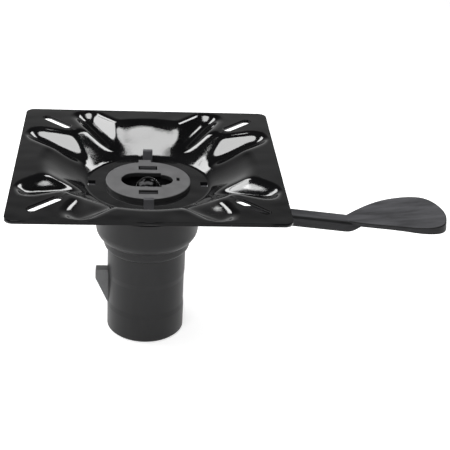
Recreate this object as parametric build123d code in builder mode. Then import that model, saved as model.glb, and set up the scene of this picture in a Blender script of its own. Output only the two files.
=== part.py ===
"""Lift-off swivel seat base: pressed seat plate, swivel hub and latching post plug.

Millimetres, +Z up. The origin is at the centre of the plug's foot, +X points along the lever.
"""
import os
from math import atan2, cos, radians, sin, tan

from build123d import *

os.makedirs("parts", exist_ok=True)

# Clearances
seated = 0.05
running = 0.15
slack = 0.3
swivel_gap = 0.6

# Post plug, from its foot upwards
tube_r = 27.5
tube_wall = 3.5
tube_length = 66.0
foot_chamfer = 1.5
nose_land = 18.8
upper_land = 47.0
land_relief = 0.4
land_ramp = 4.0
shoulder_r = 30.15
shoulder_height = 7.0
shoulder_round = 2.8
bowl_height = 8.0
bowl_bulge = 1.3
spigot_height = 2.0
spigot_wall = 2.8
plug_web = 4.0
plug_web_drop = 4.0

# Lever housing
collar_r = 35.7
collar_wall = 3.0
collar_height = 17.7
collar_edge = 0.8
deck = 3.0
cheek = 3.5
cheek_length = 11.0
post_r = 4.5
post_gap = 3.2
post_angles = (100, 180, 260)

# Screws that join the housing to the plug
screw_r = 2.0
screw_head_r = 4.0
screw_length = 25.0
screw_key_r = 1.45
screw_key_depth = 1.6

# Swivel hub
thrust = 1.5
thrust_gap = 0.7
hub_height = 10.15
hub_web = 4.0
cup_r = 23.5
cup_wall = 3.0
skirt_wall = 3.0
hub_ribs = 8
hub_rib = 2.5
hub_flange = 3.5
hub_flange_r = 41.0
lug_width = 6.8
lug_depth = 3.2
lug_height = 8.0
lug_round = 0.8
hook_width = 11.0
hook_leg = 2.2
hook_root = 4.0
hook_barb = 1.2
hook_head = 1.1

# Pivot bolt and what turns on it
bolt_r = 5.0
bolt_head_r = 8.5
bolt_head = 7.8
bolt_head_edge = 0.8
bolt_cup_r = 6.9
bolt_cup_depth = 1.6
bolt_key_r = 4.6
bolt_key_depth = 4.0
bolt_end = 2.0
bush_wall = 2.5
bush_flange = 1.0
bush_flange_r = 11.0
washer = 1.5
washer_r = 11.0
nut_r = 9.8
nut_height = 8.0

# Seat plate
plate_side = 178.0
plate_corner_r = 6.0
sheet = 2.5
dish_depth = 17.0
dish_top_r = 71.0
dish_floor_r = 42.5
dish_bend_r = 8.0
dish_foot_r = 5.0
bend_lip = 0.003
trough_r = 8.0
trough_wall = 44.0
trough_nose = 42.0
trough_end = 86.0
trough_offset = 23.5
trough_depth = 8.8
trough_yaw = 12.6
trough_fall = 10.5
trough_run = 49.0
trough_edge_r = 5.0
slot_inner = 78.5
slot_length = 28.3
slot_width = 7.0
corner_angles = (45, 135, 225, 315)
window_pitch_r = 38.5
window_depth = 5.0
window_width = 7.4

# Retaining disc
disc_r = 29.0
disc = 3.0
disc_edge = 0.6
opening_left = 18.5
opening_step = 9.0
opening_half = 11.0
lobe_right = 17.0
lobe_half = 8.2
disc_slot_width = 13.0
disc_slot_depth = 6.2
disc_slot_y = 19.1
disc_ledge = 1.5
key_hole_width = 2.2
key_hole_depth = 5.0
key_hole_x = 20.5
key_hole_y = 1.5
tab_x = -2.1
tab_width = 8.7
tab_reach = 32.5

# Release lever
lift = 11.0
pivot_inset = 13.7
pivot_drop = 9.2
pivot_r = 3.0
pivot_hub_r = 5.5
pin_head_r = 4.6
pin_head = 1.5
pin_tail = 2.2
clip_r = 5.5
clip = 0.8
clip_groove = 0.6
clip_mouth = 4.4
arm_width = 13.2
arm_height = 9.0
arm_edge = 2.6
arm_lift = 0.7
arm_bend_x = 85.0
arm_slope = 6.0
arm_heel = 1.5
arm_toe = 12.5
arm_dive = 2.0
arm_end_bulge = 1.6
paddle_x = 139.6
paddle_sink = 0.6
paddle_rise = 6.4
paddle_root = 3.5
paddle_waist = 3.4
paddle_tip = 7.0
paddle_length = 70.7
paddle_half = 25.1
paddle_neck = 8.0
paddle_edge = 0.9
# Points round the paddle's edge, as shares of its length and half width
paddle_outline = (
    (0.20, 0.59),
    (0.40, 0.885),
    (0.64, 1.0),
    (0.85, 0.85),
    (0.976, 0.24),
    (1.0, -0.16),
    (0.983, -0.56),
    (0.926, -0.88),
    (0.80, -1.0),
    (0.55, -0.82),
    (0.22, -0.464),
)
leg_width = 7.0
leg_thick = 6.0
leg_end_x = 8.0
leg_end_z = 41.0
leg_end_r = 3.0
leg_neck = 3.4
leg_neck_length = 18.0

# Latch
latch_width = 6.6
latch_reach = 8.5
latch_top = 46.0
latch_face = 7.0
latch_bottom = 19.8
latch_back = 18.0
latch_bar = 14.0
latch_tail = 13.0
latch_edge = 1.0
notch_sink = 5.2
rail = 2.4
rail_low = 21.0
rail_top = 43.0
spring_seat = 3.0
spring_seat_x = 7.0
spring_wire = 0.8
spring_r = 2.9
spring_turns = 8

# Heights and radii worked out from the stack
shoulder_top = tube_length + shoulder_height
collar_low = shoulder_top + bowl_height
deck_top = collar_low + collar_height
deck_low = deck_top - deck
hub_low = deck_top + thrust + running
hub_top = hub_low + hub_height
hub_web_top = hub_low + hub_web
hub_flange_low = hub_top - hub_flange
floor_top = hub_top + sheet
plate_top = floor_top + dish_depth
plug_web_top = collar_low - plug_web_drop
plug_web_low = plug_web_top - plug_web
tube_bore_r = tube_r - tube_wall
collar_bore_r = collar_r - collar_wall
thrust_r = collar_r - skirt_wall - thrust_gap
post_pitch_r = collar_bore_r - post_gap - post_r
spigot_r = collar_bore_r - running
plug_mouth_r = spigot_r - spigot_wall
bush_r = bolt_r + running + bush_wall
washer_low = hub_web_top + bush_flange + running
bolt_seat = washer_low + washer
nut_low = deck_low - washer - nut_height
hook_y = disc_slot_y + disc_slot_depth / 2 - slack - hook_leg
post_spots = [(post_pitch_r * cos(radians(a)), post_pitch_r * sin(radians(a))) for a in post_angles]

# Lever and latch geometry in the plane of the arm
pivot_x = collar_r - pivot_inset
pivot_z = deck_top - pivot_drop
arm_z = pivot_z + arm_lift
arm_low = arm_z - arm_height / 2
arm_half = arm_width / 2
cheek_inner = arm_half + slack
cheek_outer = cheek_inner + cheek
elbow_z = leg_end_z + leg_neck_length
leg_lean = (pivot_x - leg_end_x) / (pivot_z - elbow_z)
latch_bar_low = latch_top - latch_bar
latch_slot_half = latch_width / 2 + slack
latch_guide_low = latch_bottom - slack


def pressing(drop, bend, foot, edge, margin):
    """Block whose top face is the seat plate's surface, sunk by drop along its normal."""
    top = plate_top - drop
    floor = floor_top - drop
    slope = atan2(dish_depth, dish_top_r - dish_floor_r)
    shift = drop * tan(slope / 2)
    rim_r = dish_top_r + shift + bend * tan(slope / 2) + bend_lip
    side = plate_side + 2 * margin
    wall = radians(trough_wall)
    nose = radians(trough_nose)
    groove_sink = drop / cos(wall)
    groove_top = trough_depth + trough_run * sin(radians(trough_fall)) + sheet
    groove_half = (groove_top + groove_sink) / tan(wall)
    nose_plane = Plane(origin=(0, 0, 0), z_dir=(sin(nose), 0, -cos(nose))).offset(drop)
    with BuildPart() as groove:
        with BuildSketch(Plane.YZ.offset(-trough_run)):
            Polygon((0, -groove_sink), (groove_half, groove_top), (-groove_half, groove_top), align=None)
        extrude(amount=2 * trough_run)
        split(bisect_by=nose_plane, keep=Keep.BOTTOM)
        valley = groove.edges().group_by(Axis.Z)[0]
        nose_edges = groove.faces().sort_by(Axis.X)[-1].edges().sort_by(Axis.Z)[:2]
        fillet(valley + nose_edges, trough_r + drop)
    groove_spots = [
        Location((0, 0, 0), (0, 0, corner))
        * Location((trough_end, half * trough_offset, plate_top - trough_depth), (0, 0, half * trough_yaw))
        * Location((0, 0, 0), (0, -trough_fall, 0))
        for corner in corner_angles
        for half in (-1, 1)
    ]
    with BuildPart() as block:
        with BuildSketch(Plane.XY.offset(floor - dish_depth)):
            RectangleRounded(side, side, plate_corner_r + margin)
        extrude(amount=top - floor + dish_depth)
        with BuildSketch(Plane.XZ):
            with BuildLine():
                FilletPolyline(
                    (0, floor),
                    (dish_floor_r + shift, floor),
                    (dish_top_r + shift, top),
                    (rim_r, top),
                    radius=[foot, bend],
                )
                Polyline((rim_r, top), (rim_r, top + sheet), (0, top + sheet), (0, floor))
            make_face()
        revolve(axis=Axis.Z, mode=Mode.SUBTRACT)
        with Locations(*groove_spots):
            add(groove.part, mode=Mode.SUBTRACT)
        fillet(block.edges(Select.NEW), edge)
    return block.part


def ring(inner_r, outer_r, low, height):
    """Plain washer about the swivel axis."""
    with BuildPart() as plain:
        with BuildSketch(Plane.XY.offset(low)):
            Circle(outer_r)
            Circle(inner_r, mode=Mode.SUBTRACT)
        extrude(amount=height)
    return plain.part


# Seat plate: a sheet pressed into a dish, with two troughs and a bolt slot at each corner
upper_form = pressing(0, dish_bend_r, dish_foot_r, trough_edge_r, 0)
lower_form = pressing(sheet, dish_bend_r - sheet, dish_foot_r + sheet, trough_edge_r - sheet, sheet)
with BuildPart() as seat_plate:
    add(upper_form)
    add(lower_form, mode=Mode.SUBTRACT)
    with BuildSketch(Plane.XY.offset(floor_top)):
        Circle(cup_r + running)
        with PolarLocations(window_pitch_r, 4):
            Rectangle(window_depth, window_width)
    extrude(amount=-sheet, both=True, mode=Mode.SUBTRACT)
    with BuildSketch(Plane.XY.offset(plate_top)):
        with PolarLocations(slot_inner + slot_length / 2, len(corner_angles), start_angle=corner_angles[0]):
            SlotOverall(slot_length, slot_width)
    extrude(amount=-sheet, both=True, mode=Mode.SUBTRACT)
seat_plate.part.label = "seat_plate"
export_step(seat_plate.part, "parts/seat_plate.step")

# Retaining disc: sits on the dish's floor, held by the hub's two hooks
opening_width = opening_step + opening_left - opening_half
with BuildPart() as retaining_disc:
    with BuildSketch(Plane.XY.offset(floor_top)):
        Circle(disc_r)
        with Locations((tab_x, 0)):
            Rectangle(tab_width, tab_reach, align=(Align.CENTER, Align.MIN))
    extrude(amount=disc)
    fillet(retaining_disc.edges().group_by(Axis.Z)[-1], disc_edge)
    with BuildSketch(Plane.XY.offset(floor_top)):
        with Locations((opening_half - opening_left, 0)):
            Circle(opening_half)
            Rectangle(opening_width, 2 * opening_half, align=(Align.MIN, Align.CENTER))
        with Locations((lobe_right - lobe_half, 0)):
            Circle(lobe_half)
        with Locations((key_hole_x, key_hole_y)):
            Rectangle(key_hole_width, key_hole_depth)
        with Locations((0, hook_y - slack), (0, -hook_y - hook_leg - slack)):
            Rectangle(disc_slot_width, hook_leg + 2 * slack, align=(Align.CENTER, Align.MIN))
    extrude(amount=disc, mode=Mode.SUBTRACT)
    with BuildSketch(Plane.XY.offset(floor_top + disc_ledge)):
        with Locations((0, disc_slot_y), (0, -disc_slot_y)):
            Rectangle(disc_slot_width, disc_slot_depth)
    extrude(amount=disc, mode=Mode.SUBTRACT)
retaining_disc.part.label = "retaining_disc"
export_step(retaining_disc.part, "parts/retaining_disc.step")

# Swivel flange: hub under the plate, with a cup for the bolt, ribs, two lugs and two hooks
with BuildPart() as swivel_flange:
    with BuildSketch(Plane.XZ):
        with BuildLine():
            Polyline(
                (bush_r + seated, hub_low),
                (cup_r, hub_low),
                (cup_r, hub_flange_low),
                (collar_r - skirt_wall, hub_flange_low),
                (collar_r - skirt_wall, deck_top + swivel_gap),
                (collar_r, deck_top + swivel_gap),
                (collar_r, hub_flange_low),
                (hub_flange_r, hub_flange_low),
                (hub_flange_r, hub_top),
                (cup_r, hub_top),
                (cup_r, floor_top),
                (cup_r - cup_wall, floor_top),
                (cup_r - cup_wall, hub_web_top),
                (bush_r + seated, hub_web_top),
                close=True,
            )
        make_face()
    revolve(axis=Axis.Z)
    with BuildSketch(Plane.XY.offset(hub_low)):
        with PolarLocations((cup_r + collar_r - skirt_wall) / 2, hub_ribs, start_angle=180 / hub_ribs):
            Rectangle(collar_r - cup_r, hub_rib)
    extrude(amount=hub_height - hub_flange)
    with BuildSketch(Plane.XY.offset(floor_top - hook_root)):
        with Locations((0, hook_y), (0, -hook_y - hook_leg)):
            Rectangle(hook_width, hook_leg, align=(Align.CENTER, Align.MIN))
    extrude(amount=hook_root + disc_ledge + seated + hook_head)
    with BuildSketch(Plane.XY.offset(floor_top + disc_ledge + seated)):
        with Locations((0, hook_y - hook_barb), (0, -hook_y)):
            Rectangle(hook_width, hook_barb, align=(Align.CENTER, Align.MIN))
    extrude(amount=hook_head)
    with BuildSketch(Plane.XY.offset(hub_flange_low)):
        with Locations((0, window_pitch_r), (0, -window_pitch_r)):
            Rectangle(lug_width, lug_depth)
    extrude(amount=hub_flange + sheet + lug_height)
    fillet(swivel_flange.edges().group_by(Axis.Z)[-1], lug_round)
swivel_flange.part.label = "swivel_flange"
export_step(swivel_flange.part, "parts/swivel_flange.step")

# Flanged bush in the hub's web
with BuildPart() as flange_bush:
    with BuildSketch(Plane.XZ):
        with BuildLine():
            Polyline(
                (bolt_r + running, hub_low),
                (bush_r, hub_low),
                (bush_r, hub_web_top),
                (bush_flange_r, hub_web_top),
                (bush_flange_r, hub_web_top + bush_flange),
                (bolt_r + running, hub_web_top + bush_flange),
                close=True,
            )
        make_face()
    revolve(axis=Axis.Z)
flange_bush.part.label = "flange_bush"
export_step(flange_bush.part, "parts/flange_bush.step")

# Washers: under the bolt's head, between hub and deck, and over the nut
with BuildPart() as bolt_washer:
    add(ring(bolt_r + running, washer_r, washer_low, washer))
bolt_washer.part.label = "bolt_washer"
export_step(bolt_washer.part, "parts/bolt_washer.step")

with BuildPart() as thrust_washer:
    add(ring(bolt_r + slack, thrust_r, deck_top, thrust))
thrust_washer.part.label = "thrust_washer"
export_step(thrust_washer.part, "parts/thrust_washer.step")

with BuildPart() as nut_washer:
    add(ring(bolt_r + running, washer_r, deck_low - washer, washer))
nut_washer.part.label = "nut_washer"
export_step(nut_washer.part, "parts/nut_washer.step")

# Pivot bolt with a socket head, and its nut
with BuildPart() as pivot_bolt:
    with BuildSketch(Plane.XY.offset(bolt_seat)):
        Circle(bolt_head_r)
    extrude(amount=bolt_head)
    fillet(pivot_bolt.edges().group_by(Axis.Z)[-1], bolt_head_edge)
    with BuildSketch(Plane.XY.offset(bolt_seat)):
        Circle(bolt_r)
    extrude(amount=nut_low - bolt_end - bolt_seat)
    with BuildSketch(Plane.XY.offset(bolt_seat + bolt_head)):
        Circle(bolt_cup_r)
    extrude(amount=-bolt_cup_depth, mode=Mode.SUBTRACT)
    with BuildSketch(Plane.XY.offset(bolt_seat + bolt_head - bolt_cup_depth)):
        RegularPolygon(bolt_key_r, 6)
    extrude(amount=-bolt_key_depth, mode=Mode.SUBTRACT)
pivot_bolt.part.label = "pivot_bolt"
export_step(pivot_bolt.part, "parts/pivot_bolt.step")

with BuildPart() as lock_nut:
    with BuildSketch(Plane.XY.offset(nut_low)):
        RegularPolygon(nut_r, 6)
        Circle(bolt_r + seated, mode=Mode.SUBTRACT)
    extrude(amount=nut_height)
lock_nut.part.label = "lock_nut"
export_step(lock_nut.part, "parts/lock_nut.step")

# Lever housing: collar with a deck on top, cheeks for the lever's pin and posts for the screws
with BuildPart() as lever_housing:
    with BuildSketch(Plane.XY.offset(collar_low)):
        Circle(collar_r)
    extrude(amount=collar_height)
    fillet(lever_housing.edges().group_by(Axis.Z)[-1], collar_edge)
    with BuildSketch(Plane.XY.offset(collar_low)):
        Circle(collar_bore_r)
    extrude(amount=collar_height - deck, mode=Mode.SUBTRACT)
    with BuildSketch(Plane.XY.offset(plug_web_top)):
        with Locations(*post_spots):
            Circle(post_r)
    extrude(amount=deck_low - plug_web_top)
    for cheek_y in (-cheek_outer, cheek_inner):
        with BuildSketch(Plane.XZ.offset(-cheek_y)):
            with Locations((pivot_x, pivot_z)):
                Circle(cheek_length / 2)
                Rectangle(cheek_length, deck_low - pivot_z, align=(Align.CENTER, Align.MIN))
        extrude(amount=-cheek)
    with BuildSketch(Plane.XZ):
        with Locations((pivot_x, pivot_z)):
            Circle(pivot_r + seated)
    extrude(amount=cheek_outer, both=True, mode=Mode.SUBTRACT)
    with BuildSketch(Plane.YZ.offset(pivot_x + pivot_r)):
        with Locations((0, arm_low - running)):
            Rectangle(2 * cheek_inner, deck_top - arm_low + running, align=(Align.CENTER, Align.MIN))
    extrude(amount=collar_r - pivot_x, mode=Mode.SUBTRACT)
    with Locations((0, 0, deck_top)):
        Hole(bolt_r + running)
    with Locations(*[(x, y, deck_top) for x, y in post_spots]):
        CounterSinkHole(screw_r + running, screw_head_r + running, counter_sink_angle=90)
lever_housing.part.label = "lever_housing"
export_step(lever_housing.part, "parts/lever_housing.step")

# Countersunk screws from the deck into the plug's web
with BuildPart() as screw:
    with BuildSketch(Plane.XZ):
        with BuildLine():
            Polyline(
                (0, 0),
                (screw_head_r, 0),
                (screw_r, screw_r - screw_head_r),
                (screw_r, -screw_length),
                (0, -screw_length),
                close=True,
            )
        make_face()
    revolve(axis=Axis.Z)
    with BuildSketch(Plane.XY):
        RegularPolygon(screw_key_r, 6)
    extrude(amount=-screw_key_depth, mode=Mode.SUBTRACT)
with BuildPart() as housing_screws:
    with Locations(*[(x, y, deck_top - seated) for x, y in post_spots]):
        add(screw.part)
housing_screws.part.label = "housing_screws"
export_step(housing_screws.part, "parts/housing_screws.step")

# Post plug: tube, shoulder and bowl in one moulding, with the latch's rails inside
leg_swing = (pivot_z - plug_web_low) * sin(radians(lift))
window_start = pivot_x - leg_lean * (pivot_z - plug_web_low) - leg_width
window_end = pivot_x - leg_lean * (pivot_z - plug_web_top) + leg_width + leg_swing / 2
with BuildPart() as post_plug:
    with BuildSketch(Plane.XZ):
        with BuildLine():
            Polyline(
                (tube_bore_r, 0),
                (tube_r - foot_chamfer, 0),
                (tube_r, foot_chamfer),
                (tube_r, nose_land),
                (tube_r - land_relief, nose_land + land_ramp),
                (tube_r - land_relief, upper_land - land_ramp),
                (tube_r, upper_land),
                (tube_r, tube_length),
                (shoulder_r - shoulder_round, tube_length),
            )
            CenterArc((shoulder_r - shoulder_round, tube_length + shoulder_round), shoulder_round, -90, 90)
            Line((shoulder_r, tube_length + shoulder_round), (shoulder_r, shoulder_top))
            SagittaArc((shoulder_r, shoulder_top), (collar_r, collar_low), -bowl_bulge)
            Polyline(
                (collar_r, collar_low),
                (spigot_r, collar_low),
                (spigot_r, collar_low + spigot_height),
                (plug_mouth_r, collar_low + spigot_height),
                (plug_mouth_r, plug_web_top),
                (0, plug_web_top),
                (0, plug_web_low),
                (shoulder_r - tube_wall, plug_web_low),
                (tube_bore_r, tube_length),
                (tube_bore_r, 0),
            )
        make_face()
    revolve(axis=Axis.Z)
    with BuildSketch(Plane.XY.offset(plug_web_low)):
        with Locations((window_start, 0)):
            Rectangle(window_end - window_start, leg_thick + leg_neck, align=(Align.MIN, Align.CENTER))
        with Locations(*post_spots):
            Circle(screw_r + seated)
    extrude(amount=plug_web, mode=Mode.SUBTRACT)
    with BuildSketch(Plane.XY.offset(rail_low)):
        with Locations((0, latch_slot_half + rail / 2), (0, -latch_slot_half - rail / 2)):
            Rectangle(2 * tube_bore_r, rail)
    extrude(amount=rail_top - rail_low)
    with BuildSketch(Plane.XY.offset(rail_low)):
        with Locations((spring_seat_x, 0)):
            Rectangle(spring_seat, 2 * latch_slot_half, align=(Align.MIN, Align.CENTER))
    extrude(amount=latch_bar_low - slack - rail_low)
    with BuildSketch(Plane.YZ.offset(-tube_bore_r + tube_wall)):
        with Locations((0, latch_guide_low)):
            Rectangle(
                2 * latch_slot_half,
                latch_top - latch_bottom + 2 * slack,
                align=(Align.CENTER, Align.MIN),
            )
    extrude(amount=-3 * tube_wall, mode=Mode.SUBTRACT)
post_plug.part.label = "post_plug"
export_step(post_plug.part, "parts/post_plug.step")

# Release lever: arm, paddle, pivot hub and the leg that draws the latch, in one moulding
arm_fall = tan(radians(arm_slope))
arm_root_z = arm_z - (paddle_x - arm_bend_x) * arm_fall
paddle_tilt = radians(paddle_rise)
paddle_origin = (paddle_x, 0, arm_root_z + arm_height / 2 - paddle_sink)
paddle_along = (cos(paddle_tilt), 0, sin(paddle_tilt))
paddle_plane = Plane(origin=paddle_origin, x_dir=paddle_along, z_dir=(-sin(paddle_tilt), 0, cos(paddle_tilt)))
with BuildPart() as paddle:
    with BuildSketch(paddle_plane):
        with BuildLine():
            Spline(
                (0, paddle_neck / 2),
                *[(along * paddle_length, across * paddle_half) for along, across in paddle_outline],
                (0, -paddle_neck / 2),
            )
            Line((0, -paddle_neck / 2), (0, paddle_neck / 2))
        make_face()
    extrude(amount=-2 * paddle_tip)
    with BuildSketch(Plane(origin=paddle_origin, x_dir=paddle_along, z_dir=(0, -1, 0))):
        with BuildLine():
            ThreePointArc((0, -paddle_root), (paddle_length / 2, -paddle_waist), (paddle_length, -paddle_tip))
            Polyline((paddle_length, -paddle_tip), (paddle_length, 0), (0, 0), (0, -paddle_root))
        make_face()
    extrude(amount=2 * paddle_half, both=True, mode=Mode.INTERSECT)
    fillet(paddle.faces().filter_by(paddle_plane)[0].edges(), paddle_edge)
with BuildPart() as release_lever:
    with BuildSketch(Plane.XZ):
        with BuildLine():
            Polyline(
                (paddle_x - arm_heel, arm_root_z + arm_heel * arm_fall - arm_height / 2),
                (arm_bend_x, arm_low),
                (pivot_x, arm_low),
                (pivot_x, arm_low + arm_height),
                (arm_bend_x, arm_low + arm_height),
                (paddle_x, arm_root_z + arm_height / 2),
                (paddle_x + arm_toe, arm_root_z + arm_height / 2 - arm_dive),
            )
            SagittaArc(
                (paddle_x + arm_toe, arm_root_z + arm_height / 2 - arm_dive),
                (paddle_x - arm_heel, arm_root_z + arm_heel * arm_fall - arm_height / 2),
                arm_end_bulge,
            )
        make_face()
    extrude(amount=arm_half, both=True)
    fillet(release_lever.edges().filter_by(Axis.Y, reverse=True).filter_by(GeomType.LINE), arm_edge)
    add(paddle.part)
    with BuildSketch(Plane.XZ):
        with Locations((pivot_x, pivot_z)):
            Circle(pivot_hub_r)
    extrude(amount=arm_half, both=True)
    with BuildSketch(Plane.XZ):
        SlotCenterPoint(
            ((pivot_x + leg_end_x) / 2, (pivot_z + elbow_z) / 2),
            (pivot_x, pivot_z),
            leg_width,
        )
        SlotCenterPoint((leg_end_x, (elbow_z + leg_end_z) / 2), (leg_end_x, leg_end_z), leg_neck)
        with Locations((leg_end_x, leg_end_z)):
            Circle(leg_end_r)
    extrude(amount=leg_thick / 2, both=True)
    with BuildSketch(Plane.XZ):
        with Locations((pivot_x, pivot_z)):
            Circle(pivot_r + running)
    extrude(amount=arm_width, both=True, mode=Mode.SUBTRACT)
release_lever.part.label = "release_lever"
export_step(release_lever.part, "parts/release_lever.step")

# Lever's pivot pin, headed at one end and held by a clip at the other
with BuildPart() as lever_pivot_pin:
    with BuildSketch(Plane.XZ.offset(cheek_outer + seated)):
        with Locations((pivot_x, pivot_z)):
            Circle(pin_head_r)
    extrude(amount=pin_head)
    with BuildSketch(Plane.XZ.offset(cheek_outer + seated)):
        with Locations((pivot_x, pivot_z)):
            Circle(pivot_r)
    extrude(amount=-2 * cheek_outer - pin_tail)
    with BuildSketch(Plane.XZ.offset(-cheek_outer - seated)):
        with Locations((pivot_x, pivot_z)):
            Circle(pin_head_r)
            Circle(pivot_r - clip_groove, mode=Mode.SUBTRACT)
    extrude(amount=-clip - seated, mode=Mode.SUBTRACT)
lever_pivot_pin.part.label = "lever_pivot_pin"
export_step(lever_pivot_pin.part, "parts/lever_pivot_pin.step")

with BuildPart() as pivot_clip:
    with BuildSketch(Plane.XZ.offset(-cheek_outer - seated)):
        with Locations((pivot_x, pivot_z)):
            Circle(clip_r)
            Circle(pivot_r - clip_groove + seated, mode=Mode.SUBTRACT)
            Rectangle(clip_mouth, clip_r, align=(Align.CENTER, Align.MAX), mode=Mode.SUBTRACT)
    extrude(amount=-clip)
pivot_clip.part.label = "pivot_clip"
export_step(pivot_clip.part, "parts/pivot_clip.step")

# Latch: wedge nose and a bar with a notch for the lever's leg
nose_x = -tube_r - latch_reach
with BuildPart() as latch:
    with BuildSketch(Plane.XZ):
        with BuildLine():
            Polyline(
                (nose_x, latch_top),
                (nose_x, latch_top - latch_face),
                (-tube_r, latch_bottom),
                (-latch_back, latch_bottom),
                (-latch_back, latch_bar_low),
                (latch_tail, latch_bar_low),
                (latch_tail, latch_top),
                close=True,
            )
        make_face()
    extrude(amount=latch_width / 2, both=True)
    fillet(latch.edges().filter_by(Axis.Y).group_by(Axis.X)[0], latch_edge)
    with BuildSketch(Plane.XZ):
        with Locations((leg_end_x, leg_end_z + leg_end_r - notch_sink)):
            Circle(leg_end_r + slack)
            Rectangle(2 * (leg_end_r + slack), latch_top, align=(Align.CENTER, Align.MIN))
    extrude(amount=latch_width, both=True, mode=Mode.SUBTRACT)
latch.part.label = "latch"
export_step(latch.part, "parts/latch.step")

# Compression spring between the latch's nose and the plug's spring seat
spring_z = (latch_bottom + latch_bar_low) / 2
spring_length = latch_back + spring_seat_x - spring_wire - 2 * seated
with BuildPart() as latch_spring:
    with BuildLine() as coil:
        Helix(
            pitch=spring_length / spring_turns,
            height=spring_length,
            radius=spring_r,
            center=(-latch_back + spring_wire / 2 + seated, 0, spring_z),
            direction=(1, 0, 0),
        )
    with BuildSketch(Plane(origin=coil.line @ 0, z_dir=coil.line % 0)):
        Circle(spring_wire / 2)
    sweep(path=coil.line)
latch_spring.part.label = "latch_spring"
export_step(latch_spring.part, "parts/latch_spring.step")
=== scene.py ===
"""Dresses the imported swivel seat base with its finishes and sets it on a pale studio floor."""
from math import cos, pi, radians, sin

import bmesh
import bpy
import numpy as np
from mathutils import Euler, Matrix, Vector
from mathutils.bvhtree import BVHTree


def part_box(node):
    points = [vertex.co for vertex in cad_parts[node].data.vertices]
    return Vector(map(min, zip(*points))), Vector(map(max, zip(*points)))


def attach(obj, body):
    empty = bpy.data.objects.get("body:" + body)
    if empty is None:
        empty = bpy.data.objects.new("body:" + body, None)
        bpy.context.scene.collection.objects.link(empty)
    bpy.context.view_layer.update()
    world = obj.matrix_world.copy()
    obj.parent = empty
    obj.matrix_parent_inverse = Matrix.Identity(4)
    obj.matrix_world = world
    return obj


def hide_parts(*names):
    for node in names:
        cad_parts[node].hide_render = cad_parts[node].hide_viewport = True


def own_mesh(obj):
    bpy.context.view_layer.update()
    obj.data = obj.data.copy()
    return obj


bl_info = {
    "name": "Swivel Seat Base",
    "version": (1, 0, 0),
    "blender": (4, 5, 0),
    "location": "View3D > Sidebar > Seat Base",
    "description": "Finishes and studio for a lift-off swivel seat base",
    "category": "Object",
}

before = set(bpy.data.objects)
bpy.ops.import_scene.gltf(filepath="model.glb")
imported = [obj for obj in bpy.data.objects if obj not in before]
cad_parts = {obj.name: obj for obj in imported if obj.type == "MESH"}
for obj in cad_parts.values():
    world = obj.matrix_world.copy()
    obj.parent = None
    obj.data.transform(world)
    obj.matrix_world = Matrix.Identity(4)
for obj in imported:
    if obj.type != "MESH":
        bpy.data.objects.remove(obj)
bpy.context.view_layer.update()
# Edges sharper than this stay sharp
SHARP_ANGLE = radians(40.0)
# Pressed plate in metres: the grid its heights are read on, how far above it the reading starts, how far the
# press softens them, its longest edges where it is softened and elsewhere, and the sheet's thickness
PRESS_STEP = 0.00075
PRESS_ABOVE = 0.01
PRESS_SOFTNESS = 0.0024
PRESS_EDGE = 0.003
PRESS_FLAT_EDGE = 0.02
PRESS_ROUNDS = 8
SHEET = 0.0025
WELD_GAP = 1e-6
# Share of the sheet's thickness within which a point is on its top, and how far up a face has to look to take
# the softened form's normals and to count as level
TOP_SHARE = 0.4
DRAWN_FACING = 0.3
LEVEL_FACING = 0.9995
# Radii between which the softening starts, outside the dish's floor
PRESS_START = (0.044, 0.052)
# Distances from the plate's border and from a bolt slot's middle line over which it fades in, and the radii
# that the slot runs between
BORDER_FADE = (0.002, 0.007)
SLOT_FADE = (0.0045, 0.008)
SLOT_RUN = (0.0785, 0.1068)
# Pivot bolt in metres: small edges, the straight brim of its head and the dome above it; and the share of the
# head's radius outside which a point is on the head's rim
BOLT_EDGE = 0.0004
BOLT_BRIM = 0.0022
BOLT_DOME = 0.0082
HEAD_RIM = 0.9
DOME_STEPS = 16
TURN_STEPS = 96
# Moulded grain per metre and how strongly plastic reflects
GRAIN_SCALE = 2200.0
PLASTIC_GLOSS = 0.3
# Depths in metres below the disc's top from which its walls and recesses take full painted shade and above which
# they take none, and the width outside the disc over which the hub goes from painted shade to painted light on its
# lugs
SHADE_FULL_DEPTH = 0.0007
SHADE_FREE_DEPTH = 0.0003
LUG_LIGHT_RUN = 0.004
# Studio floor in metres: half its width and how far it lies below the foot; and how much it glows when seen
FLOOR_HALF = 6.0
FLOOR_DROP = 0.0003
FLOOR_GLOW = 0.7
# Painted light and shade on the lever by how level a face is: its upright sides shaded, its rounded edges darkest,
# its level top lit
LEVER_LIGHT_LEVELS = ((0.2, 0.45), (0.45, 0.1), (0.82, 0.1), (0.96, 1.0))
# Brightness of the room by the height of the view direction
ROOM_LEVELS = ((0.0, 0.5), (0.2, 0.22), (0.38, 0.11), (0.465, 0.065), (0.52, 0.02), (0.6, 0.004))


# Node helpers

def fresh_finish(name):
    """An empty material with its shader and output, and its coordinates in metres."""
    material = bpy.data.materials.new(name)
    material.use_nodes = True
    tree = material.node_tree
    tree.nodes.clear()
    output = tree.nodes.new("ShaderNodeOutputMaterial")
    shader = tree.nodes.new("ShaderNodeBsdfPrincipled")
    tree.links.new(shader.outputs["BSDF"], output.inputs["Surface"])
    place = tree.nodes.new("ShaderNodeTexCoord")
    return material, tree, shader, place.outputs["Object"]


def noise(tree, place, scale, detail=2.0, roughness=0.5, stretch=None):
    """Noise of about 1/scale metres, drawn out along an axis when stretch is given."""
    if stretch:
        mapping = tree.nodes.new("ShaderNodeMapping")
        mapping.inputs["Scale"].default_value = stretch
        tree.links.new(place, mapping.inputs["Vector"])
        place = mapping.outputs["Vector"]
    texture = tree.nodes.new("ShaderNodeTexNoise")
    texture.inputs["Scale"].default_value = scale
    texture.inputs["Detail"].default_value = detail
    texture.inputs["Roughness"].default_value = roughness
    tree.links.new(place, texture.inputs["Vector"])
    return texture.outputs["Fac"]


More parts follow.
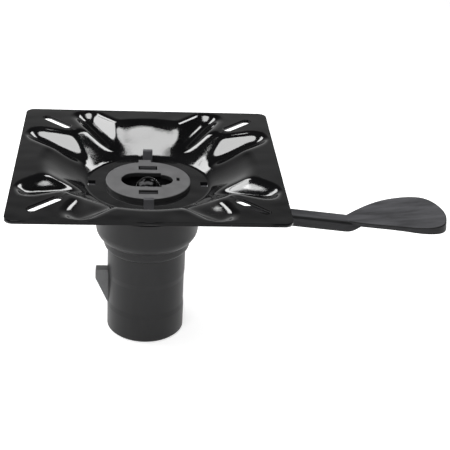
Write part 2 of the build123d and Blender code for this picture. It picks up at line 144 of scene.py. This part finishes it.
def between(tree, value, low, high, start=0.3, end=0.7):
    """A number from low to high as value goes from start to end."""
    span = tree.nodes.new("ShaderNodeMapRange")
    span.inputs["From Min"].default_value = start
    span.inputs["From Max"].default_value = end
    span.inputs["To Min"].default_value = low
    span.inputs["To Max"].default_value = high
    tree.links.new(value, span.inputs["Value"])
    return span.outputs["Result"]


def tint(tree, value, dark, light, start=0.3, end=0.7):
    """A colour from dark to light as value goes from start to end."""
    ramp = tree.nodes.new("ShaderNodeValToRGB")
    ramp.color_ramp.elements[0].position = start
    ramp.color_ramp.elements[0].color = (*dark, 1.0)
    ramp.color_ramp.elements[1].position = end
    ramp.color_ramp.elements[1].color = (*light, 1.0)
    tree.links.new(value, ramp.inputs["Fac"])
    return ramp.outputs["Color"]


def stepped(tree, value, levels):
    """A grey that follows pairs of a value and a level."""
    ramp = tree.nodes.new("ShaderNodeValToRGB")
    stops = ramp.color_ramp.elements
    while len(stops) < len(levels):
        stops.new(1.0)
    for stop, (position, level) in zip(stops, levels):
        stop.position = position
        stop.color = (level, level, level, 1.0)
    tree.links.new(value, ramp.inputs["Fac"])
    return ramp.outputs["Color"]


def upward(tree, vector):
    """The Z part of a vector."""
    split = tree.nodes.new("ShaderNodeSeparateXYZ")
    tree.links.new(vector, split.inputs["Vector"])
    return split.outputs["Z"]


def levelness(tree, normal):
    """1 on level faces and 0 on upright ones, by the smooth normal or the true one."""
    facing = tree.nodes.new("ShaderNodeNewGeometry")
    size = tree.nodes.new("ShaderNodeMath")
    size.operation = "ABSOLUTE"
    tree.links.new(upward(tree, facing.outputs[normal]), size.inputs[0])
    return size.outputs["Value"]


def relief(tree, shader, height, distance, under=None):
    """Bump of the given depth in metres, laid over another bump when one is given."""
    bump = tree.nodes.new("ShaderNodeBump")
    bump.inputs["Strength"].default_value = 1.0
    bump.inputs["Distance"].default_value = distance
    tree.links.new(height, bump.inputs["Height"])
    if under:
        tree.links.new(under, bump.inputs["Normal"])
    tree.links.new(bump.outputs["Normal"], shader.inputs["Normal"])
    return bump.outputs["Normal"]


def sheared_edge(tree):
    """1 on the plate's faces and near 0 on its sheared edges, which face sideways and are dull."""
    return between(tree, levelness(tree, "True Normal"), 0.06, 1.0, 0.3, 0.55)


def painted_lever_light(tree):
    """Painted light and shade: 1 on level faces, less on upright ones and least on the rounded edges between them."""
    return stepped(tree, levelness(tree, "Normal"), LEVER_LIGHT_LEVELS)


def scaled(tree, colour, factor):
    """A colour times a number or another colour."""
    mix = tree.nodes.new("ShaderNodeMix")
    mix.data_type = "RGBA"
    mix.blend_type = "MULTIPLY"
    mix.inputs["Factor"].default_value = 1.0
    tree.links.new(colour, mix.inputs["A"])
    tree.links.new(factor, mix.inputs["B"])
    return mix.outputs["Result"]


def shade(colour, factor):
    """A colour made darker or paler."""
    return tuple(channel * factor for channel in colour)


def placed(name, data):
    """A new object in the scene."""
    item = bpy.data.objects.new(name, data)
    bpy.context.scene.collection.objects.link(item)
    return item


def paint_node(node, material):
    """Gives a node of the frame one finish."""
    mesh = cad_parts[node].data
    mesh.materials.clear()
    mesh.materials.append(material)


# Finishes

def gloss_enamel(look):
    """Black stoved enamel on pressed steel: slow waves, slight orange peel and dull sheared edges."""
    material, tree, shader, place = fresh_finish("gloss_enamel")
    clouds = noise(tree, place, 60.0, 3.0)
    colour = tint(tree, clouds, shade(look.enamel_colour, 0.8), shade(look.enamel_colour, 1.3))
    tree.links.new(colour, shader.inputs["Base Color"])
    roughness = between(tree, clouds, look.enamel_roughness, 1.6 * look.enamel_roughness)
    tree.links.new(roughness, shader.inputs["Roughness"])
    gloss = sheared_edge(tree)
    tree.links.new(gloss, shader.inputs["Specular IOR Level"])
    tree.links.new(gloss, shader.inputs["Coat Weight"])
    shader.inputs["IOR"].default_value = 1.7
    shader.inputs["Coat IOR"].default_value = 1.6
    shader.inputs["Coat Roughness"].default_value = 0.03
    waves = relief(tree, shader, noise(tree, place, 45.0, 1.0), 0.0007)
    peel = relief(tree, shader, noise(tree, place, 420.0, 1.0), 0.000015, waves)
    relief(tree, shader, noise(tree, place, 2600.0, 1.0), 0.00001, peel)
    return material


def moulded_plastic(name, colour, roughness, grain_depth, flow=None):
    """Moulded plastic with a fine spark-eroded grain and faint flow marks."""
    material, tree, shader, place = fresh_finish(name)
    shader.inputs["Specular IOR Level"].default_value = PLASTIC_GLOSS
    clouds = noise(tree, place, 45.0, 4.0, 0.6, flow)
    tree.links.new(tint(tree, clouds, shade(colour, 0.8), shade(colour, 1.35)), shader.inputs["Base Color"])
    tree.links.new(between(tree, clouds, 0.9 * roughness, 1.15 * roughness), shader.inputs["Roughness"])
    relief(tree, shader, noise(tree, place, GRAIN_SCALE, 2.0), grain_depth)
    return material


def matt_disc(look):
    """Grey matt disc, with painted shade darkening its walls and recesses below the top face."""
    material, tree, shader, place = fresh_finish("matt_disc")
    clouds = noise(tree, place, 120.0, 4.0)
    coat = tint(tree, clouds, shade(look.disc_colour, 0.9), shade(look.disc_colour, 1.12))
    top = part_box("retaining_disc")[1].z
    # painted shade: below its top face the disc's grey is darkened to a tenth, where shade falls on its walls and in
    # its slots
    painted_shade_factor = between(tree, upward(tree, place), 0.1, 1.0, top - SHADE_FULL_DEPTH, top - SHADE_FREE_DEPTH)
    tree.links.new(scaled(tree, coat, painted_shade_factor), shader.inputs["Base Color"])
    tree.links.new(between(tree, clouds, 0.5, 0.6), shader.inputs["Roughness"])
    shader.inputs["Specular IOR Level"].default_value = PLASTIC_GLOSS
    relief(tree, shader, noise(tree, place, 1800.0, 2.0), 0.00003)
    return material


def hub_plastic(look):
    """Dark plastic, with painted shade within the disc's radius and painted light on the lugs that stand in the
    plate's windows.
    """
    material, tree, shader, place = fresh_finish("hub_plastic")
    clouds = noise(tree, place, 45.0, 4.0, 0.6)
    colour = tint(tree, clouds, shade(look.plastic_colour, 4.5), shade(look.plastic_colour, 7.5))
    reach = tree.nodes.new("ShaderNodeVectorMath")
    reach.operation = "LENGTH"
    flat = tree.nodes.new("ShaderNodeMapping")
    flat.inputs["Scale"].default_value = (1.0, 1.0, 0.0)
    tree.links.new(place, flat.inputs["Vector"])
    tree.links.new(flat.outputs["Vector"], reach.inputs[0])
    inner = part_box("retaining_disc")[1].x
    # painted shade and light: a quarter as bright within the disc's radius, where shade falls in its slots, and the
    # full pale tone on the lugs outside it, lit from the front
    painted_shade_and_light = between(tree, reach.outputs["Value"], 0.25, 1.0, inner, inner + LUG_LIGHT_RUN)
    tree.links.new(scaled(tree, colour, painted_shade_and_light), shader.inputs["Base Color"])
    tree.links.new(between(tree, clouds, 0.4, 0.5), shader.inputs["Roughness"])
    shader.inputs["Specular IOR Level"].default_value = PLASTIC_GLOSS
    relief(tree, shader, noise(tree, place, GRAIN_SCALE, 2.0), 0.00002)
    return material


def lever_plastic(look):
    """Black plastic streaked along the arm, with painted light on its level top and painted shade on its sides and
    rounded edges.
    """
    material, tree, shader, place = fresh_finish("lever_plastic")
    streaks = noise(tree, place, 150.0, 4.0, 0.6, (0.2, 1.0, 1.0))
    edges = painted_lever_light(tree)
    colour = tint(tree, streaks, shade(look.plastic_colour, 3.4), shade(look.plastic_colour, 6.8), 0.35, 0.65)
    # painted light on the level top, painted shade on the upright sides and darker painted shade on the rounded edges
    tree.links.new(scaled(tree, colour, edges), shader.inputs["Base Color"])
    shader.inputs["Specular IOR Level"].default_value = 0.2
    tree.links.new(between(tree, streaks, 0.45, 0.55), shader.inputs["Roughness"])
    relief(tree, shader, noise(tree, place, GRAIN_SCALE, 2.0), 0.00002)
    return material


def plated_steel(name, colour, roughness, lay):
    """Zinc plated steel with fine turning marks along lay."""
    material, tree, shader, place = fresh_finish(name)
    marks = noise(tree, place, 300.0, 3.0, 0.6, lay)
    tree.links.new(tint(tree, marks, shade(colour, 0.8), colour), shader.inputs["Base Color"])
    tree.links.new(between(tree, marks, roughness, 1.5 * roughness), shader.inputs["Roughness"])
    shader.inputs["Metallic"].default_value = 1.0
    relief(tree, shader, marks, 0.00001)
    return material


def blackened_steel(look):
    """Oil-blackened steel, with a pale bloom that shows along the edge of a dome."""
    material, tree, shader, place = fresh_finish("blackened_steel")
    marks = noise(tree, place, 700.0, 3.0)
    colour = tint(tree, marks, shade(look.steel_colour, 0.04), shade(look.steel_colour, 0.1))
    tree.links.new(colour, shader.inputs["Base Color"])
    tree.links.new(between(tree, marks, 0.12, 0.2), shader.inputs["Roughness"])
    shader.inputs["Metallic"].default_value = 1.0
    shader.inputs["Sheen Weight"].default_value = 1.0
    shader.inputs["Sheen Roughness"].default_value = 0.2
    relief(tree, shader, marks, 0.00001)
    return material


def natural_nylon():
    """Off-white slip washers and bush."""
    material, tree, shader, place = fresh_finish("natural_nylon")
    clouds = noise(tree, place, 80.0, 3.0)
    tree.links.new(tint(tree, clouds, (0.66, 0.65, 0.6), (0.76, 0.75, 0.71)), shader.inputs["Base Color"])
    tree.links.new(between(tree, clouds, 0.35, 0.45), shader.inputs["Roughness"])
    return material


# Settings

class SeatBaseLook(bpy.types.PropertyGroup):
    """Colours and gloss of the seat base"""

    enamel_colour: bpy.props.FloatVectorProperty(
        name="Enamel", description="Colour of the pressed plate", subtype="COLOR", size=3, min=0.0, max=1.0,
        default=(0.006, 0.006, 0.0065),
    )
    enamel_roughness: bpy.props.FloatProperty(
        name="Enamel Roughness", description="Roughness of the plate's paint", subtype="FACTOR", min=0.0, max=1.0,
        default=0.06,
    )
    plastic_colour: bpy.props.FloatVectorProperty(
        name="Plastic", description="Colour of the plug, housing, hub and lever", subtype="COLOR", size=3,
        min=0.0, max=1.0, default=(0.014, 0.014, 0.015),
    )
    disc_colour: bpy.props.FloatVectorProperty(
        name="Disc", description="Colour of the retaining disc", subtype="COLOR", size=3, min=0.0, max=1.0,
        default=(0.135, 0.135, 0.137),
    )
    latch_colour: bpy.props.FloatVectorProperty(
        name="Latch", description="Colour of the latch", subtype="COLOR", size=3, min=0.0, max=1.0,
        default=(0.22, 0.22, 0.224),
    )
    steel_colour: bpy.props.FloatVectorProperty(
        name="Steel", description="Colour of the plated fasteners", subtype="COLOR", size=3, min=0.0, max=1.0,
        default=(0.4, 0.4, 0.41),
    )


class SeatBaseStudio(bpy.types.PropertyGroup):
    """Camera, lamps and floor"""

    lens: bpy.props.FloatProperty(
        name="Lens", description="Focal length on a 36 mm sensor", subtype="DISTANCE_CAMERA", min=10.0, max=300.0,
        default=89.9,
    )
    camera_place: bpy.props.FloatVectorProperty(
        name="Camera", description="Where the camera stands", subtype="TRANSLATION", unit="LENGTH", size=3,
        default=(-0.0144, -0.6967, 0.4513),
    )
    camera_turn: bpy.props.FloatVectorProperty(
        name="Camera Turn", description="Camera rotation", subtype="EULER", unit="ROTATION", size=3,
        default=(1.084179, -0.052744, -0.071006),
    )
    overhead_watts: bpy.props.FloatProperty(
        name="Overhead", description="Power of the large softbox above the plate", unit="POWER", min=0.0, default=6.4,
    )
    side_watts: bpy.props.FloatProperty(
        name="Side", description="Power of the softbox at the left", unit="POWER", min=0.0, default=4.0,
    )
    front_watts: bpy.props.FloatProperty(
        name="Front", description="Power of the softbox by the camera", unit="POWER", min=0.0, default=4.0,
    )
    back_watts: bpy.props.FloatProperty(
        name="Back", description="Power of each small softbox behind the plate", unit="POWER", min=0.0, default=0.42,
    )
    floor_colour: bpy.props.FloatVectorProperty(
        name="Floor", description="Colour of the floor", subtype="COLOR", size=3, min=0.0, max=1.0,
        default=(0.9, 0.9, 0.9),
    )


# Pieces

def smooth_step(value, start, end):
    """0 before start, 1 after end and a smooth rise between."""
    share = np.clip((value - start) / (end - start), 0.0, 1.0)
    return share * share * (3.0 - 2.0 * share)


def blurred(field, width):
    """A grid of heights, softened over a width in metres."""
    reach = int(3.0 * width / PRESS_STEP) + 1
    steps = np.arange(-reach, reach + 1) * PRESS_STEP
    weights = np.exp(-0.5 * (steps / width) ** 2)
    weights /= weights.sum()
    for axis in (0, 1):
        padded = np.pad(field, [(reach, reach) if axis == side else (0, 0) for side in (0, 1)], mode="edge")
        field = np.apply_along_axis(lambda row: np.convolve(row, weights, mode="valid"), axis, padded)
    return field


def sampled(field, places, reach):
    """Values of a grid at places, read between its points."""
    spot = np.clip((places[:, :2] + reach) / PRESS_STEP, 0.0, len(field) - 1.001)
    cell = spot.astype(int)
    part = spot - cell
    column, row = cell[:, 0], cell[:, 1]
    near = field[row, column] * (1.0 - part[:, 0]) + field[row, column + 1] * part[:, 0]
    far = field[row + 1, column] * (1.0 - part[:, 0]) + field[row + 1, column + 1] * part[:, 0]
    return near * (1.0 - part[:, 1]) + far * part[:, 1]


def vectors(rows, key):
    """One vector of each row of a mesh."""
    values = np.empty(3 * len(rows))
    rows.foreach_get(key, values)
    return values.reshape(-1, 3)


def plate_heights(source, line):
    """Heights of the plate's top over a square grid, with its holes filled level."""
    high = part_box("seat_plate")[1]
    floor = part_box("retaining_disc")[0].z
    points = [point.co for point in source.vertices]
    solid = BVHTree.FromPolygons(points, [face.vertices for face in source.polygons])
    radius = np.hypot(*np.meshgrid(line, line))
    height = np.where(radius < PRESS_START[0], floor, high.z)
    for row, column in np.ndindex(height.shape):
        hit = solid.ray_cast((line[column], line[row], high.z + PRESS_ABOVE), (0.0, 0.0, -1.0))[0]
        if hit:
            height[row, column] = hit.z
    return height


def press_share(line, half):
    """How much of the softening each point of the grid takes: none at the floor, the slots and the border."""
    x, y = np.abs(np.meshgrid(line, line))
    along = (x + y) / 2.0 ** 0.5
    aside = np.abs(x - y) / 2.0 ** 0.5
    slot_gap = np.hypot(aside, along - np.clip(along, *SLOT_RUN))
    share = smooth_step(np.hypot(x, y), *PRESS_START) * smooth_step(slot_gap, *SLOT_FADE)
    return share * smooth_step(half - np.maximum(x, y), *BORDER_FADE)


def divided_plate(source, share, reach):
    """A copy of the plate's mesh, cut finely where it is softened."""
    shape = bmesh.new()
    shape.from_mesh(source)
    bmesh.ops.remove_doubles(shape, verts=shape.verts, dist=WELD_GAP)
    for _ in range(PRESS_ROUNDS):
        edges = list(shape.edges)
        ends = np.array([[*edge.verts[0].co, *edge.verts[1].co] for edge in edges])
        length = np.linalg.norm(ends[:, 3:] - ends[:, :3], axis=1)
        soft = sampled(share, 0.5 * (ends[:, :3] + ends[:, 3:]), reach) > 0.0
        long = np.flatnonzero(length > np.where(soft, PRESS_EDGE, PRESS_FLAT_EDGE))
        if not len(long):
            break
        bmesh.ops.subdivide_edges(shape, edges=[edges[index] for index in long], cuts=1, use_grid_fill=True)
        bmesh.ops.triangulate(shape, faces=[face for face in shape.faces if len(face.verts) > 3])
    mesh = bpy.data.meshes.new("seat_plate_pressed")
    shape.to_mesh(mesh)
    shape.free()
    return mesh


def smooth_plate(mesh, lean, softened):
    """Shades the plate, with the softened form's own normals at the softened points of its top."""
    mesh.shade_smooth()
    mesh.set_sharp_from_angle(angle=SHARP_ANGLE)
    normals = vectors(mesh.corner_normals, "vector")
    corners = np.empty(len(mesh.loops), dtype=np.int32)
    mesh.loops.foreach_get("vertex_index", corners)
    facing = np.repeat(vectors(mesh.polygons, "normal")[:, 2], 3)
    chosen = (facing > DRAWN_FACING) & softened[corners]
    normals[chosen] = lean[corners[chosen]]
    normals[facing > LEVEL_FACING] = (0.0, 0.0, 1.0)
    mesh.normals_split_custom_set(normals.tolist())


def pressed_plate(material):
    """Stands for the seat plate, with its dish and troughs drawn as softly as a press leaves them."""
    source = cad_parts["seat_plate"].data
    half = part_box("seat_plate")[1].x
    half_count = int(half / PRESS_STEP) + 2
    reach = half_count * PRESS_STEP
    line = np.linspace(-reach, reach, 2 * half_count + 1)
    height = plate_heights(source, line)
    share = press_share(line, half)
    shift = share * (blurred(height, PRESS_SOFTNESS) - height)
    drawn = height + shift
    slope_y, slope_x = np.gradient(blurred(drawn, PRESS_STEP), PRESS_STEP)

    mesh = divided_plate(source, share, reach)
    places = vectors(mesh.vertices, "co")
    lean = np.ones_like(places)
    lean[:, 0] = -sampled(slope_x, places, reach)
    lean[:, 1] = -sampled(slope_y, places, reach)
    stretch = np.linalg.norm(lean, axis=1)
    part = sampled(share, places, reach)
    top = places[:, 2] > sampled(height, places, reach) - TOP_SHARE * SHEET
    under = (1.0 - part) * places[:, 2] + part * (sampled(drawn, places, reach) - SHEET * stretch)
    places[:, 2] = np.where(top, places[:, 2] + sampled(shift, places, reach), under)
    mesh.vertices.foreach_set("co", places.ravel())
    mesh.update()
    smooth_plate(mesh, lean / stretch[:, None], (part > 0.0) & top)
    mesh.materials.append(material)
    plate = placed("seat_plate_pressed", mesh)
    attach(plate, "seat")
    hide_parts("seat_plate")


class SEATBASE_OT_plate(bpy.types.Operator):
    """Enamel the pressed seat plate"""

    bl_idname = "seat_base.plate"
    bl_label = "Seat Plate"

    def execute(self, context):
        enamel = gloss_enamel(context.scene.seat_base_look)
        paint_node("seat_plate", enamel)
        pressed_plate(enamel)
        return {"FINISHED"}


class SEATBASE_OT_disc(bpy.types.Operator):
    """Finish the retaining disc in the dish"""

    bl_idname = "seat_base.disc"
    bl_label = "Retaining Disc"

    def execute(self, context):
        paint_node("retaining_disc", matt_disc(context.scene.seat_base_look))
        return {"FINISHED"}


class SEATBASE_OT_hub(bpy.types.Operator):
    """Finish the hub, its bush and its slip washer"""

    bl_idname = "seat_base.hub"
    bl_label = "Swivel Hub"

    def execute(self, context):
        look = context.scene.seat_base_look
        paint_node("swivel_flange", hub_plastic(look))
        nylon = natural_nylon()
        paint_node("flange_bush", nylon)
        paint_node("thrust_washer", nylon)
        return {"FINISHED"}


class SEATBASE_OT_plug(bpy.types.Operator):
    """Finish the housing and the post plug under the plate"""

    bl_idname = "seat_base.plug"
    bl_label = "Housing and Plug"

    def execute(self, context):
        look = context.scene.seat_base_look
        plastic = moulded_plastic("plug_plastic", look.plastic_colour, 0.4, 0.000008, (1.0, 1.0, 0.25))
        paint_node("post_plug", plastic)
        paint_node("lever_housing", plastic)
        return {"FINISHED"}


class SEATBASE_OT_lever(bpy.types.Operator):
    """Finish the release lever"""

    bl_idname = "seat_base.lever"
    bl_label = "Release Lever"

    def execute(self, context):
        look = context.scene.seat_base_look
        paint_node("release_lever", lever_plastic(look))
        return {"FINISHED"}


def squeezed_spring(material):
    """Stands for the latch's spring, as a copy of its mesh that goes with the plug."""
    coil = placed("latch_spring_coil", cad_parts["latch_spring"].data.copy())
    coil.data.materials.clear()
    coil.data.materials.append(material)
    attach(coil, "plug")
    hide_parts("latch_spring")
    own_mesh(coil)


class SEATBASE_OT_latch(bpy.types.Operator):
    """Finish the latch and its spring"""

    bl_idname = "seat_base.latch"
    bl_label = "Latch"

    def execute(self, context):
        look = context.scene.seat_base_look
        paint_node("latch", moulded_plastic("latch_plastic", look.latch_colour, 0.4, 0.00002))
        spring = plated_steel("spring_wire", shade(look.steel_colour, 0.8), 0.25, (1.0, 1.0, 1.0))
        paint_node("latch_spring", spring)
        paint_node("pivot_clip", spring)
        squeezed_spring(spring)
        return {"FINISHED"}


def turned(name, outline):
    """A closed turned mesh from (radius, height) points that start and end on the axis."""
    rings = outline[1:-1]
    points = [(0.0, 0.0, outline[0][1]), (0.0, 0.0, outline[-1][1])]
    for radius, height in rings:
        for step in range(TURN_STEPS):
            angle = 2.0 * pi * step / TURN_STEPS
            points.append((radius * cos(angle), radius * sin(angle), height))
    faces = []
    last = 2 + (len(rings) - 1) * TURN_STEPS
    for step in range(TURN_STEPS):
        after = (step + 1) % TURN_STEPS
        faces.append((0, 2 + after, 2 + step))
        faces.append((1, last + step, last + after))
        for ring in range(len(rings) - 1):
            low = 2 + ring * TURN_STEPS
            high = low + TURN_STEPS
            faces.append((low + step, low + after, high + after, high + step))
    mesh = bpy.data.meshes.new(name)
    mesh.from_pydata(points, [], faces)
    mesh.shade_smooth()
    mesh.set_sharp_from_angle(angle=SHARP_ANGLE)
    return mesh


def round_headed_bolt(material):
    """Stands for the pivot bolt, with the round head that shows in the disc's opening."""
    solid = [vertex.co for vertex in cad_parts["pivot_bolt"].data.vertices]
    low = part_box("pivot_bolt")[0]
    head_r = max(point.xy.length for point in solid)
    shank_r = max(point.xy.length for point in solid if point.z < low.z + BOLT_EDGE)
    seat = min(point.z for point in solid if point.xy.length > HEAD_RIM * head_r)
    brim = seat + BOLT_BRIM
    outline = [
        (0.0, low.z),
        (shank_r - BOLT_EDGE, low.z),
        (shank_r, low.z + BOLT_EDGE),
        (shank_r, seat),
        (head_r - BOLT_EDGE, seat),
        (head_r, seat + BOLT_EDGE),
    ]
    for step in range(DOME_STEPS):
        angle = 0.5 * pi * step / DOME_STEPS
        outline.append((head_r * cos(angle), brim + BOLT_DOME * sin(angle)))
    outline.append((0.0, brim + BOLT_DOME))
    bolt = placed("pivot_bolt_round", turned("pivot_bolt_round", outline))
    bolt.data.materials.append(material)
    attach(bolt, "plug")
    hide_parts("pivot_bolt")


class SEATBASE_OT_fasteners(bpy.types.Operator):
    """Finish the bolt, nut, washers, screws and pin"""

    bl_idname = "seat_base.fasteners"
    bl_label = "Fasteners"

    def execute(self, context):
        look = context.scene.seat_base_look
        steel = plated_steel("plated_steel", look.steel_colour, 0.22, (1.0, 1.0, 6.0))
        for node in ("pivot_bolt", "bolt_washer", "nut_washer", "lock_nut", "housing_screws", "lever_pivot_pin"):
            paint_node(node, steel)
        round_headed_bolt(blackened_steel(look))
        return {"FINISHED"}


# Studio

def softbox(name, place, target, width, depth, watts):
    """A rectangular area lamp that faces target."""
    lamp = bpy.data.lights.new(name, "AREA")
    lamp.shape = "RECTANGLE"
    lamp.size = width
    lamp.size_y = depth
    lamp.energy = watts
    holder = placed(name, lamp)
    holder.location = place
    aim = Vector(target) - Vector(place)
    holder.rotation_euler = aim.to_track_quat("-Z", "Y").to_euler()


def floor_finish(colour):
    """Pale floor that reads as white to the camera and in reflections and still takes a shadow."""
    material, tree, shader, _ = fresh_finish("studio_floor")
    shader.inputs["Base Color"].default_value = (*colour, 1.0)
    shader.inputs["Roughness"].default_value = 0.9
    shader.inputs["Specular IOR Level"].default_value = 0.0
    path = tree.nodes.new("ShaderNodeLightPath")
    seen = path.outputs["Is Camera Ray"]
    for ray in ("Is Glossy Ray", "Is Transmission Ray"):
        either = tree.nodes.new("ShaderNodeMath")
        either.operation = "MAXIMUM"
        tree.links.new(seen, either.inputs[0])
        tree.links.new(path.outputs[ray], either.inputs[1])
        seen = either.outputs["Value"]
    glow = between(tree, seen, 0.0, FLOOR_GLOW, 0.0, 1.0)
    shader.inputs["Emission Color"].default_value = (1.0, 1.0, 1.0, 1.0)
    tree.links.new(glow, shader.inputs["Emission Strength"])
    return material


def studio_room():
    """Room that is palest where its walls meet the floor and dark overhead."""
    world = bpy.data.worlds.new("studio_room")
    world.use_nodes = True
    tree = world.node_tree
    place = tree.nodes.new("ShaderNodeTexCoord")
    colour = stepped(tree, upward(tree, place.outputs["Generated"]), ROOM_LEVELS)
    tree.links.new(colour, tree.nodes["Background"].inputs["Color"])
    return world


class SEATBASE_OT_studio(bpy.types.Operator):
    """Set up the floor, the room, the lamps and the camera"""

    bl_idname = "seat_base.studio"
    bl_label = "Studio"

    def execute(self, context):
        scene = context.scene
        studio = scene.seat_base_studio
        scene.view_settings.view_transform = "Standard"

        mesh = bpy.data.meshes.new("studio_floor")
        corners = [(x * FLOOR_HALF, y * FLOOR_HALF, 0.0) for x, y in ((-1, -1), (1, -1), (1, 1), (-1, 1))]
        mesh.from_pydata(corners, [], [(0, 1, 2, 3)])
        mesh.materials.append(floor_finish(studio.floor_colour))
        floor = placed("studio_floor", mesh)
        floor.location.z = -FLOOR_DROP

        scene.world = studio_room()

        top = (0.0, 0.0, 0.12)
        softbox("overhead_box", (0.0, -0.08, 0.95), (0.0, -0.08, 0.0), 1.36, 0.5, studio.overhead_watts)
        softbox("left_box", (-0.72, 0.27, 0.68), top, 0.66, 0.6, studio.side_watts)
        softbox("right_back_box", (0.36, 0.56, 0.73), top, 0.16, 0.26, studio.back_watts)
        softbox("left_back_box", (-0.36, 0.56, 0.73), top, 0.16, 0.26, studio.back_watts)
        softbox("front_box", (-0.3, -0.85, 0.9), top, 0.7, 0.4, studio.front_watts)

        camera = bpy.data.cameras.new("photo_camera")
        camera.lens = studio.lens
        camera.sensor_width = 36.0
        camera.sensor_fit = "HORIZONTAL"
        camera.clip_start = 0.01
        holder = placed("photo_camera", camera)
        holder.location = studio.camera_place
        holder.rotation_euler = Euler(studio.camera_turn, "XYZ")
        scene.camera = holder
        return {"FINISHED"}


class SEATBASE_PT_panel(bpy.types.Panel):
    """Seat base settings and pieces"""

    bl_idname = "SEATBASE_PT_panel"
    bl_label = "Swivel Seat Base"
    bl_space_type = "VIEW_3D"
    bl_region_type = "UI"
    bl_category = "Seat Base"

    def draw(self, context):
        layout = self.layout
        for settings in (context.scene.seat_base_look, context.scene.seat_base_studio):
            column = layout.column(align=True)
            for key in settings.bl_rna.properties.keys():
                if key not in ("rna_type", "name"):
                    column.prop(settings, key)
        for piece in PIECES:
            layout.operator(piece.bl_idname)


PIECES = (
    SEATBASE_OT_plate,
    SEATBASE_OT_disc,
    SEATBASE_OT_hub,
    SEATBASE_OT_plug,
    SEATBASE_OT_lever,
    SEATBASE_OT_latch,
    SEATBASE_OT_fasteners,
    SEATBASE_OT_studio,
)
CLASSES = (SeatBaseLook, SeatBaseStudio, *PIECES, SEATBASE_PT_panel)


def register():
    for cls in CLASSES:
        bpy.utils.register_class(cls)
    bpy.types.Scene.seat_base_look = bpy.props.PointerProperty(type=SeatBaseLook)
    bpy.types.Scene.seat_base_studio = bpy.props.PointerProperty(type=SeatBaseStudio)


def unregister():
    del bpy.types.Scene.seat_base_studio
    del bpy.types.Scene.seat_base_look
    for cls in reversed(CLASSES):
        bpy.utils.unregister_class(cls)


def main():
    register()
    bpy.ops.seat_base.plate()
    bpy.ops.seat_base.disc()
    bpy.ops.seat_base.hub()
    bpy.ops.seat_base.plug()
    bpy.ops.seat_base.lever()
    bpy.ops.seat_base.latch()
    bpy.ops.seat_base.fasteners()
    bpy.ops.seat_base.studio()


if __name__ == "__main__":
    main()
